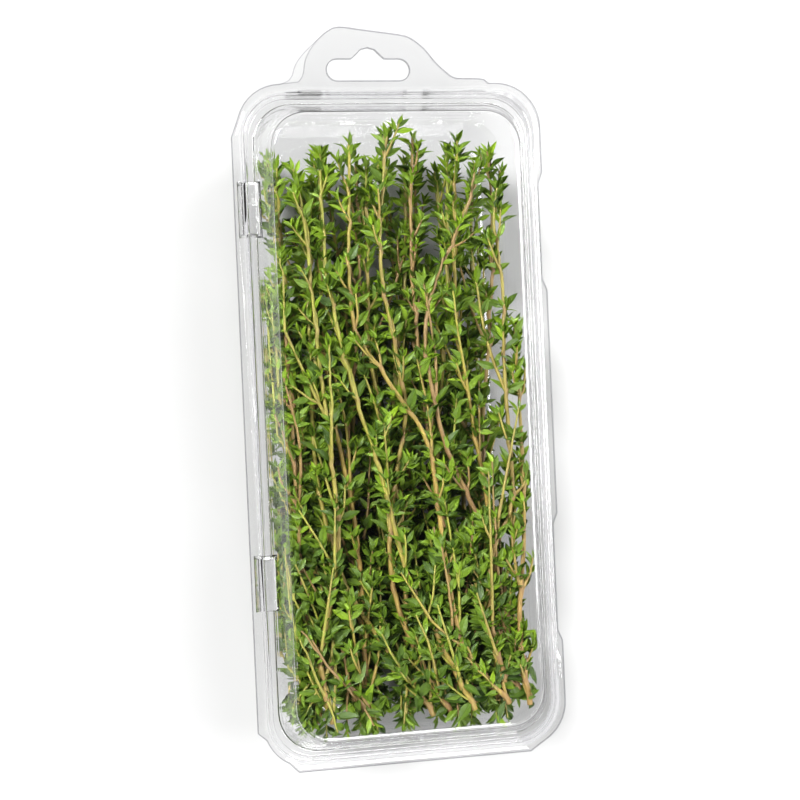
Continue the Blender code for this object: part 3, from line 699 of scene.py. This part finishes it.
class Sprig:
    """A sprig while it grows: its mesh and the draws that shape it."""

    def __init__(self, settings, leaf_shapes, crowd, seed, branching, pull):
        self.settings = settings
        self.leaf_shapes = leaf_shapes
        self.crowd = crowd
        self.draw = random.Random(seed)
        self.builder = bmesh.new()
        self.builder.verts.layers.float_color.new("tint")
        self.green = self.draw.uniform(*GREENER)
        self.rust = self.draw.choice(REDNESS)
        self.fresh = self.draw.uniform(*FRESHER)
        self.branching = branching
        self.pull = pull

    def add(self, mesh, tints):
        """Take in a mesh whose vertices get the given tints."""
        mesh.attributes["tint"].data.foreach_set("color", [value for tint in tints for value in tint])
        self.builder.from_mesh(mesh)
        bpy.data.meshes.remove(mesh)

    def grow_stem(self, line, radii, youths, rusts, sides, cut):
        """A closed round stem along a line, with a pale cut face where it starts if it was cut there."""
        builder = bmesh.new()
        turns = builder.verts.layers.float.new("turn")
        levels = builder.verts.layers.int.new("level")
        ring = bmesh.ops.create_circle(builder, segments=sides, radius=1)["verts"]
        for vert in ring:
            vert[turns] = math.atan2(vert.co.y, vert.co.x)
        edges = builder.edges[:]
        ends = edges[:]
        stations = list(zip(line, radii, range(len(line))))
        if cut:
            stations = [(line[0], radii[0] * CUT_BEVEL, -1)] + stations
        for step, (point, radius, level) in enumerate(stations):
            if step:
                ring, edges = extrude_ring(builder, edges)
            spot = max(level, 0)
            along = (line[min(spot + 1, len(line) - 1)] - line[max(spot - 1, 0)]).normalized()
            side, up = axes_along(along)
            for vert in ring:
                vert.co = point + (side * math.cos(vert[turns]) + up * math.sin(vert[turns])) * radius
                vert[levels] = level
        bmesh.ops.holes_fill(builder, edges=ends + edges, sides=sides)
        bmesh.ops.recalc_face_normals(builder, faces=builder.faces)
        shade = self.draw.uniform(*STEM_SHADE)
        tints = []
        for vert in builder.verts:
            level = vert[levels]
            tints.append((youths[max(level, 0)], 1.0 if level < 0 else rusts[level], shade, 1.0))
        builder.verts.layers.float.remove(turns)
        builder.verts.layers.int.remove(builder.verts.layers.int["level"])
        builder.verts.layers.float_color.new("tint")
        for face in builder.faces:
            face.smooth = len(face.verts) == 4
        mesh = bpy.data.meshes.new("stem")
        builder.to_mesh(mesh)
        builder.free()
        self.add(mesh, tints)

    def grow_leaf(self, root, along, turn, spread, length, youth):
        """A leaf that leaves a stem at an angle, turned until it has room, or left out if it finds none."""
        draw = self.draw
        side, up = axes_along(along)
        roll = math.radians(draw.gauss(0, LEAF_ROLL))
        for more_turn, less_spread in LEAF_TRIES:
            angle = math.radians(turn + more_turn)
            lean = math.radians(max(spread - less_spread, LEAST_SPREAD))
            outward = side * math.cos(angle) + up * math.sin(angle)
            blade = (along * math.cos(lean) + outward * math.sin(lean)).normalized()
            inner = (along - blade * along.dot(blade)).normalized()
            facing = inner * FACE_STEM + UP * FACE_LID
            facing = facing - blade * facing.dot(blade)
            if facing.length < WEAK_DIRECTION:
                facing = inner
            facing = Matrix.Rotation(roll, 3, blade) @ facing.normalized()
            across = blade.cross(facing)
            half = across * length * LEAF_HALF
            rise = facing * length * LEAF_RISE
            middle = root + blade * length * 0.5
            heart = middle + blade * length * LEAF_HEART
            ends = (root + blade * length, middle + half + rise, middle - half + rise)
            if all(has_room(point) for point in ends) and self.crowd.is_free(heart):
                break
        else:
            return
        self.crowd.add(heart)
        shape, pales = self.leaf_shapes[draw.randrange(len(self.leaf_shapes))]
        wide = draw.uniform(*LEAF_WIDTH) * (WIDTH_BY_YOUTH[0] - WIDTH_BY_YOUTH[1] * clamp(youth))
        mesh = shape.copy()
        place = Matrix((across * length * wide, blade * length, facing * length)).transposed().to_4x4()
        place.translation = root
        mesh.transform(place)
        youth = clamp(youth + self.fresh + draw.gauss(0, YOUTH_DEVIATION))
        shade = clamp(draw.gauss(*LEAF_SHADE))
        self.add(mesh, [(youth, pale, shade, 1.0) for pale in pales])

    def grow_tuft(self, tip, along, size, youth):
        """The crowded leaves at the end of a shoot."""
        draw = self.draw
        start = draw.uniform(0, 90)
        for level, (back, spread, share) in enumerate(TUFT):
            root = tip - along * back * size
            for half_turn in PAIR:
                turn = start + 90 * level + half_turn + draw.uniform(-TUFT_TWIST, TUFT_TWIST)
                lean = spread + draw.uniform(-TUFT_SPREAD, TUFT_SPREAD)
                length = size * share * draw.uniform(*TUFT_SIZE)
                self.grow_leaf(root, along, turn, lean, length, youth + TUFT_YOUTH * level)

    def grow_shoot(self, root, along, turn, length, youth, rank):
        """A side shoot with pairs of leaves and a tuft: a long one, which carries tufts too, or one in an axil."""
        draw = self.draw
        lean = math.radians(draw.uniform(*SHOOT_LEAN[rank]))
        start = (along * math.cos(lean) + self.aside(along, turn) * math.sin(lean)).normalized()
        sideways, upwards = SHOOT_WANDER
        end = start * SHOOT_START + along * SHOOT_ALONG + self.pull
        end = (end + Vector((draw.uniform(*sideways), 0, draw.uniform(*upwards)))).normalized()
        count = max(round(length / (SHOOT_STEP * MM)), FEWEST_SHOOT_POINTS - 1)
        step_length = length / count
        line = [root]
        for step in range(1, count + 1):
            heading = start.lerp(end, min(SHOOT_TURN * step / count, 1)).normalized()
            point = line[-1] + heading * step_length
            if not has_room(point + heading * LOOK_AHEAD * MM):
                heading = along
                point = line[-1] + heading * step_length
            if not has_room(point + heading * LOOK_AHEAD * MM):
                break
            line.append(point)
        if len(line) < FEWEST_SHOOT_POINTS:
            self.grow_tuft(root + start * AXIL_REACH * MM, start, draw.uniform(*AXIL_TUFT) * MM, youth + 0.2)
            return
        steps = len(line) - 1
        base = SHOOT_RADIUS[rank] * MM
        radii = [base + (SHOOT_TIP_RADIUS * MM - base) * step / steps for step in range(len(line))]
        first, rise = SHOOT_YOUTH
        youths = [clamp(first + rise * step / len(line) + self.green) for step in range(len(line))]
        self.grow_stem(line, radii, youths, [self.rust] * len(line), SHOOT_SIDES, False)
        spacing = draw.uniform(*SHOOT_SPACING[rank]) * MM
        travelled = spacing * draw.uniform(*SHOOT_FIRST_NODE)
        level = 0
        while travelled < steps * step_length - SHOOT_BARE_TIP * MM:
            point, heading = place_on(line, travelled / step_length)
            size = draw.uniform(*SHOOT_LEAF[rank]) * MM
            for half_turn in PAIR:
                leaf_turn = turn + 90 * level + half_turn + draw.uniform(-SHOOT_TWIST, SHOOT_TWIST)
                self.grow_leaf(point, heading, leaf_turn, draw.uniform(*SHOOT_SPREAD), size, youth + 0.15)
                if not rank and draw.random() < SHOOT_AXILS:
                    self.grow_axil(point, heading, leaf_turn, youth + 0.2, 0.25 * (1 - travelled / length))
            travelled += spacing * draw.uniform(*SHOOT_NODE_DRAW)
            level += 1
        heading = (line[-1] - line[-2]).normalized()
        self.grow_tuft(line[-1], heading, draw.uniform(*SHOOT_TUFT) * MM, youth + 0.3)

    def grow_axil(self, root, along, turn, youth, shoot_chance):
        """What grows between a leaf and its stem: a short shoot or a few small leaves."""
        draw = self.draw
        if draw.random() < shoot_chance:
            self.grow_shoot(root, along, turn, draw.uniform(*SHOOT_LENGTH[1]) * MM, youth, 1)
            return
        heading = (along + self.aside(along, turn) * AXIL_LEAN).normalized()
        self.grow_tuft(root + heading * AXIL_REACH * MM, heading, draw.uniform(*AXIL_TUFT) * MM, youth + 0.1)

    def bend_at_nodes(self, line, nodes, step_length):
        """A stem's line with a small kink at each node, to alternate sides."""
        bent = [point.copy() for point in line]
        kink = 1
        for node in nodes:
            index = min(round(node / step_length), len(line) - 2)
            side, up = axes_along((line[index + 1] - line[index - 1]).normalized())
            bent[index] += (side * kink * self.draw.uniform(*KINK) + up * self.draw.uniform(*KINK_UP)) * MM
            kink = -kink
        return bent

    def grow(self, route):
        """The whole sprig along its route."""
        draw = self.draw
        settings = self.settings
        total = sum((after - here).length for here, after in zip(route, route[1:]))
        line = catmull(route, max(round(total / (STEM_STEP * MM)), FEWEST_STEM_POINTS))
        step_length = total / (len(line) - 1)
        nodes = []
        travelled = draw.uniform(*FIRST_NODE) * MM
        while travelled < total - BARE_TIP * MM:
            nodes.append(travelled)
            share = travelled / total
            closer = LOW_CLOSER if share < LOW_SHARE else NODE_CLOSER[0] - NODE_CLOSER[1] * share
            travelled += settings.node_spacing * draw.uniform(*NODE_DRAW) * closer
        line = self.bend_at_nodes(line, nodes, step_length)
        radii = []
        rusts = []
        for index in range(len(line)):
            near = min(abs(index * step_length - node) for node in nodes)
            swell = 1 + NODE_SWELL[0] * max(0, 1 - near / (NODE_SWELL[1] * MM))
            taper = STEM_TAPER[0] - STEM_TAPER[1] * index / (len(line) - 1)
            radii.append(settings.stem_radius * taper * swell)
            rusts.append(min(self.rust + NODE_RUST[0] * max(0, 1 - near / (NODE_RUST[1] * MM)), MOST_RUST))
        youths = [clamp(1.1 * index / len(line) - 0.1 + self.green) for index in range(len(line))]
        self.grow_stem(line, radii, youths, rusts, STEM_SIDES, True)
        base_turn = draw.uniform(-PAIR_TURN, PAIR_TURN)
        for level, node in enumerate(nodes):
            share = node / total
            is_low = share < LOW_SHARE
            point, along = place_on(line, node / step_length)
            size = settings.leaf_length * (SIZE_ALONG[0] - SIZE_ALONG[1] * share) * draw.uniform(*SIZE_DRAW)
            youth = YOUTH_ALONG[0] + YOUTH_ALONG[1] * share
            for half_turn in PAIR:
                turn = base_turn + 90 * level + half_turn + draw.uniform(-PAIR_TWIST, PAIR_TWIST)
                spread = draw.uniform(*PAIR_SPREAD[is_low])
                self.grow_leaf(point, along, turn, spread, size * draw.uniform(*PAIR_SIZE[is_low]), youth)
                if draw.random() < self.branching + LOW_BRANCHING * is_low and share < TOP_SHARE:
                    length = min(draw.uniform(*SHOOT_LENGTH[0]) * MM, LONGEST_SHARE * (total - node))
                    self.grow_shoot(point, along, turn, length, youth, 0)
                else:
                    self.grow_axil(point, along, turn, youth + 0.2, 0.5 + 0.5 * self.branching)
                if is_low and level in BACK_SHOOT_NODES and self.branching >= BACK_SHOOT_BRANCHING:
                    self.grow_shoot(point, -along, turn, draw.uniform(*BACK_SHOOT_LENGTH) * MM, youth, 1)
        heading = (line[-1] - line[-2]).normalized()
        for back, size, youth in TIP_TUFTS:
            self.grow_tuft(line[-1] - heading * back * MM, heading, draw.uniform(*size) * MM, youth)

    def aside(self, along, turn):
        """The direction away from a stem at a turn about it."""
        side, up = axes_along(along)
        return side * math.cos(math.radians(turn)) + up * math.sin(math.radians(turn))


class Crowd:
    """The places that leaves already fill, in cells."""

    def __init__(self, spacing):
        self.spacing = spacing
        self.cells = {}

    def cell(self, point):
        """The cell that a point lies in."""
        return tuple(math.floor(value / self.spacing) for value in point)

    def is_free(self, point):
        """Whether no leaf's middle is nearer than the spacing."""
        x, y, z = self.cell(point)
        for dx in (-1, 0, 1):
            for dy in (-1, 0, 1):
                for dz in (-1, 0, 1):
                    for other in self.cells.get((x + dx, y + dy, z + dz), ()):
                        if (other - point).length < self.spacing:
                            return False
        return True

    def add(self, point):
        """Mark a leaf's middle."""
        self.cells.setdefault(self.cell(point), []).append(point)


def leaf_shape(name, cup, curl):
    """A leaf one unit long, and its vertices' paleness: a cupped, thin blade with a grooved midrib."""
    builder = bmesh.new()
    rows = len(LEAF_OUTLINE) - 1
    bmesh.ops.create_grid(builder, x_segments=2, y_segments=rows, size=0.5)
    lower = bmesh.ops.duplicate(builder, geom=builder.faces[:])["geom"]
    under = set(only(lower, bmesh.types.BMVert))
    bmesh.ops.reverse_faces(builder, faces=only(lower, bmesh.types.BMFace))
    paleness = builder.verts.layers.float.new("paleness")
    for vert in builder.verts:
        row = round((vert.co.y + 0.5) * rows)
        column = round(vert.co.x * 2)
        share, half = LEAF_OUTLINE[row]
        lift = cup * half * abs(column) - curl * share ** 2
        depth = LEAF_DEPTH * (1 if 0 < row < rows else 0.5) * (0 if column else 1)
        vert.co = (column * half, share, lift - (depth if vert in under else depth * 0.25))
        vert[paleness] = EDGE_PALENESS if column else UNDERSIDE_PALENESS if vert in under else MIDRIB_PALENESS
    bmesh.ops.remove_doubles(builder, verts=builder.verts, dist=1e-4)
    pales = [vert[paleness] for vert in builder.verts]
    for face in builder.faces:
        face.smooth = True
        face.material_index = 1
    for edge in builder.edges:
        normals = [face.normal for face in edge.link_faces]
        edge.smooth = len(normals) == 2 and normals[0].dot(normals[1]) > 0
    builder.verts.layers.float.remove(paleness)
    builder.verts.layers.float_color.new("tint")
    mesh = bpy.data.meshes.new(name)
    builder.to_mesh(mesh)
    builder.free()
    return mesh, pales


# The thyme's finishes

def nodes_of(material):
    """A material's node tree, with nothing but a Principled shader joined to its output, and that shader."""
    material.use_nodes = True
    tree = material.node_tree
    tree.nodes.clear()
    output = tree.nodes.new("ShaderNodeOutputMaterial")
    shader = tree.nodes.new("ShaderNodeBsdfPrincipled")
    tree.links.new(shader.outputs["BSDF"], output.inputs["Surface"])
    return tree, shader


def blend_colours(tree, share, first, second, kind="MIX"):
    """A node that mixes two colours, each a socket or a colour."""
    node = tree.nodes.new("ShaderNodeMix")
    node.data_type = "RGBA"
    node.blend_type = kind
    for socket, value in ((node.inputs[0], share), (node.inputs[6], first), (node.inputs[7], second)):
        if isinstance(value, bpy.types.NodeSocket):
            tree.links.new(value, socket)
        elif isinstance(value, float):
            socket.default_value = value
        else:
            socket.default_value = (*value, 1)
    return node.outputs[2]


def noise(tree, scale, detail=3.0, stretch=(1, 1, 1)):
    """Noise on object coordinates."""
    place = tree.nodes.new("ShaderNodeTexCoord")
    mapping = tree.nodes.new("ShaderNodeMapping")
    mapping.inputs["Scale"].default_value = stretch
    texture = tree.nodes.new("ShaderNodeTexNoise")
    texture.inputs["Scale"].default_value = scale
    texture.inputs["Detail"].default_value = detail
    tree.links.new(place.outputs["Object"], mapping.inputs["Vector"])
    tree.links.new(mapping.outputs["Vector"], texture.inputs["Vector"])
    return texture.outputs["Fac"]


def ranged(tree, value, low, high, new_low, new_high):
    """A value mapped from one range to another and clamped."""
    node = tree.nodes.new("ShaderNodeMapRange")
    tree.links.new(value, node.inputs["Value"])
    for name, number in (("From Min", low), ("From Max", high), ("To Min", new_low), ("To Max", new_high)):
        node.inputs[name].default_value = number
    return node.outputs["Result"]


def bumped(tree, shader, height, strength, distance):
    """Relief on a shader."""
    bump = tree.nodes.new("ShaderNodeBump")
    bump.inputs["Strength"].default_value = strength
    bump.inputs["Distance"].default_value = distance
    tree.links.new(height, bump.inputs["Height"])
    tree.links.new(bump.outputs["Normal"], shader.inputs["Normal"])


def tint_channels(tree):
    """Youth, paleness (on a stem, redness and the cut face) and shade, from the vertices' tint."""
    attribute = tree.nodes.new("ShaderNodeAttribute")
    attribute.attribute_name = "tint"
    split = tree.nodes.new("ShaderNodeSeparateColor")
    tree.links.new(attribute.outputs["Color"], split.inputs["Color"])
    return split.outputs


def leaf_finish(settings):
    """Thyme leaf: dark to yellow-green with age, a paler underside and midrib, and soft mottling."""
    material = bpy.data.materials.new("thyme_leaf_finish")
    tree, shader = nodes_of(material)
    youth, pale, shade = tint_channels(tree)
    colour = blend_colours(tree, youth, settings.old_leaf, settings.young_leaf)
    colour = blend_colours(tree, pale, colour, settings.underside)
    mottle = noise(tree, 900)
    dark = blend_colours(tree, shade, *LEAF_SHADES)
    colour = blend_colours(tree, 1.0, colour, dark, "MULTIPLY")
    spots = blend_colours(tree, ranged(tree, mottle, 0.35, 0.65, 0, 1), *LEAF_MOTTLE)
    colour = blend_colours(tree, 1.0, colour, spots, "MULTIPLY")
    tree.links.new(colour, shader.inputs["Base Color"])
    tree.links.new(ranged(tree, mottle, 0.3, 0.7, 0.42, 0.60), shader.inputs["Roughness"])
    shader.inputs["Specular IOR Level"].default_value = 0.26
    bumped(tree, shader, noise(tree, 2600, 2.0), 0.35, 0.06 * MM)
    return material


def bark_finish(settings):
    """Thyme stem: woody tan below, green above, streaked along its length, and pale where it was cut."""
    material = bpy.data.materials.new("thyme_bark_finish")
    tree, shader = nodes_of(material)
    youth, cut, shade = tint_channels(tree)
    colour = blend_colours(tree, youth, settings.woody_stem, settings.green_stem)
    streaks = noise(tree, 1500, 4.0, (1, 0.22, 1))
    spots = blend_colours(tree, ranged(tree, streaks, 0.32, 0.68, 0, 1), *BARK_STREAKS)
    colour = blend_colours(tree, 1.0, colour, spots, "MULTIPLY")
    patches = noise(tree, 110, 2.0)
    rusty = blend_colours(tree, ranged(tree, cut, 0, 0.5, 0, 0.85), colour, settings.red_stem)
    colour = blend_colours(tree, ranged(tree, patches, 0.48, 0.70, 0, 0.35), rusty, settings.red_stem)
    colour = blend_colours(tree, ranged(tree, cut, 0.9, 1.0, 0, 1), colour, settings.cut_face)
    dark = blend_colours(tree, shade, *BARK_SHADES)
    colour = blend_colours(tree, 1.0, colour, dark, "MULTIPLY")
    tree.links.new(colour, shader.inputs["Base Color"])
    shader.inputs["Roughness"].default_value = 0.58
    bumped(tree, shader, streaks, 0.5, 0.12 * MM)
    return material


# Operators

class PACK_OT_make_lid(bpy.types.Operator):
    """Make the clear lid with its raised panel, hang tab and half-barrels"""
    bl_idname = "thyme_pack.make_lid"
    bl_label = "Make Lid"

    def execute(self, context):
        make_half("clear_lid", LID_SECTION, LID_TAB_FOLD_SIDE, 1, "lid", context.scene.thyme_pack)
        return {"FINISHED"}


class PACK_OT_make_tray(bpy.types.Operator):
    """Make the clear tray with its bead, floor, hang tab and half-barrels"""
    bl_idname = "thyme_pack.make_tray"
    bl_label = "Make Tray"

    def execute(self, context):
        make_half("clear_tray", TRAY_SECTION, TRAY_TAB_FOLD_SIDE, -1, "tray", context.scene.thyme_pack)
        return {"FINISHED"}


def habit(route, is_front):
    """How readily a sprig branches where it lies, and how its shoots are pulled aside."""
    height = (route[1].z - PARTING) / MM
    branching = next(share for level, share in BRANCHING if height > level)
    middle_x = sum(point.x for point in route) / len(route)
    if middle_x < FOLD_SIDE:
        return FOLD_SIDE_BRANCHING, Vector((-FOLD_SIDE_PULL if is_front else -FOLD_SIDE_DEEP_PULL, 0, 0))
    if middle_x > SNAP_SIDE:
        branching = min(branching, SNAP_SIDE_BRANCHING)
    return branching, Vector((0, 0, 0))


class PACK_OT_grow_sprigs(bpy.types.Operator):
    """Grow every thyme sprig along its stem's route"""
    bl_idname = "thyme_pack.grow_sprigs"
    bl_label = "Grow Sprigs"

    def execute(self, context):
        settings = context.scene.thyme_sprigs
        finishes = [bark_finish(settings), leaf_finish(settings)]
        shapes = [leaf_shape("leaf_shape", cup, curl) for cup, curl in LEAF_SHAPES]
        crowd = Crowd(CROWD_SPACING)
        for number, route in enumerate(stem_routes()):
            name = "sprig_%02d" % (number + 1)
            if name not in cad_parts:
                raise RuntimeError("the packed model has no node " + name)
            branching, pull = habit(route, number < len(FRONT_STEMS))
            sprig = Sprig(settings, shapes, crowd, settings.seed + number, branching, pull)
            sprig.grow(route)
            thing = piece_from(sprig.builder, "thyme_" + name, finishes)
            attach(thing, "tray")
            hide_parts(name)
        for mesh, _ in shapes:
            bpy.data.meshes.remove(mesh)
        return {"FINISHED"}


class PACK_OT_set_stage(bpy.types.Operator):
    """Lay the pale floor, set the soft light and place the camera"""
    bl_idname = "thyme_pack.set_stage"
    bl_label = "Set Stage"

    def execute(self, context):
        settings = context.scene.thyme_stage
        scene = context.scene
        scene.view_settings.view_transform = "Standard"
        scene.cycles.transparent_max_bounces = SEE_THROUGH_BOUNCES
        lay_floor(settings)
        set_lights(settings)
        place_camera(settings)
        return {"FINISHED"}


def lay_floor(settings):
    """A plain pale floor under the pack."""
    builder = bmesh.new()
    bmesh.ops.create_grid(builder, x_segments=1, y_segments=1, size=FLOOR_SIZE)
    bmesh.ops.translate(builder, vec=(0, 0, -FLOOR_DROP), verts=builder.verts)
    material = bpy.data.materials.new("floor_finish")
    _, shader = nodes_of(material)
    shader.inputs["Base Color"].default_value = (*settings.floor, 1)
    shader.inputs["Roughness"].default_value = 0.9
    shader.inputs["Specular IOR Level"].default_value = 0
    piece_from(builder, "floor", [material])


def set_lights(settings):
    """Three wide soft lights and a sky that is bright at the horizon."""
    world = bpy.data.worlds.new("soft_sky")
    world.use_nodes = True
    tree = world.node_tree
    place = tree.nodes.new("ShaderNodeTexCoord")
    split = tree.nodes.new("ShaderNodeSeparateXYZ")
    tree.links.new(place.outputs["Generated"], split.inputs["Vector"])
    ramp = tree.nodes.new("ShaderNodeValToRGB")
    elements = ramp.color_ramp.elements
    elements.new(SKY[1][0])
    for element, (height, brightness) in zip(elements, SKY):
        element.position = height
        element.color = (brightness, brightness, brightness, 1)
    tree.links.new(split.outputs["Z"], ramp.inputs["Fac"])
    tree.links.new(ramp.outputs["Color"], tree.nodes["Background"].inputs["Color"])
    tree.nodes["Background"].inputs["Strength"].default_value = settings.sky
    bpy.context.scene.world = world
    for name, place, width, share in LAMPS:
        lamp = bpy.data.lights.new(name, "SUN")
        lamp.angle = math.radians(width)
        lamp.energy = settings.key * share
        thing = bpy.data.objects.new(name, lamp)
        thing.location = place
        thing.rotation_euler = (-Vector(place)).to_track_quat("-Z", "Y").to_euler()
        bpy.context.scene.collection.objects.link(thing)


def place_camera(settings):
    """The camera at the photograph's angle."""
    lens = bpy.data.cameras.new("camera")
    lens.lens = settings.lens
    lens.sensor_width = 36
    camera = bpy.data.objects.new("camera", lens)
    place = Matrix((CAMERA_RIGHT, CAMERA_UP, CAMERA_BACK)).transposed().to_4x4()
    place.translation = Vector(CAMERA_PLACE)
    camera.matrix_world = place
    bpy.context.scene.collection.objects.link(camera)
    bpy.context.scene.camera = camera


class PACK_PT_panel(bpy.types.Panel):
    """Lists the pieces of the thyme pack"""
    bl_idname = "PACK_PT_panel"
    bl_label = "Thyme Pack"
    bl_space_type = "VIEW_3D"
    bl_region_type = "UI"
    bl_category = "Thyme Pack"

    def draw(self, context):
        layout = self.layout
        for settings, operators in GROUPS:
            box = layout.box()
            group = getattr(context.scene, settings)
            for name in type(group).__annotations__:
                box.prop(group, name)
            for operator in operators:
                box.operator(operator.bl_idname)


GROUPS = (
    ("thyme_pack", (PACK_OT_make_tray, PACK_OT_make_lid)),
    ("thyme_sprigs", (PACK_OT_grow_sprigs,)),
    ("thyme_stage", (PACK_OT_set_stage,)),
)
CLASSES = (PackSettings, SprigSettings, StageSettings, PACK_OT_make_lid, PACK_OT_make_tray, PACK_OT_grow_sprigs,
           PACK_OT_set_stage, PACK_PT_panel)


def register():
    """Register the classes and their settings."""
    for item in CLASSES:
        bpy.utils.register_class(item)
    bpy.types.Scene.thyme_pack = PointerProperty(type=PackSettings)
    bpy.types.Scene.thyme_sprigs = PointerProperty(type=SprigSettings)
    bpy.types.Scene.thyme_stage = PointerProperty(type=StageSettings)


def unregister():
    """Take the classes and their settings away."""
    del bpy.types.Scene.thyme_stage
    del bpy.types.Scene.thyme_sprigs
    del bpy.types.Scene.thyme_pack
    for item in reversed(CLASSES):
        bpy.utils.unregister_class(item)


def main():
    """Build everything."""
    register()
    bpy.ops.thyme_pack.set_stage()
    bpy.ops.thyme_pack.make_tray()
    bpy.ops.thyme_pack.make_lid()
    bpy.ops.thyme_pack.grow_sprigs()


if __name__ == "__main__":
    main()
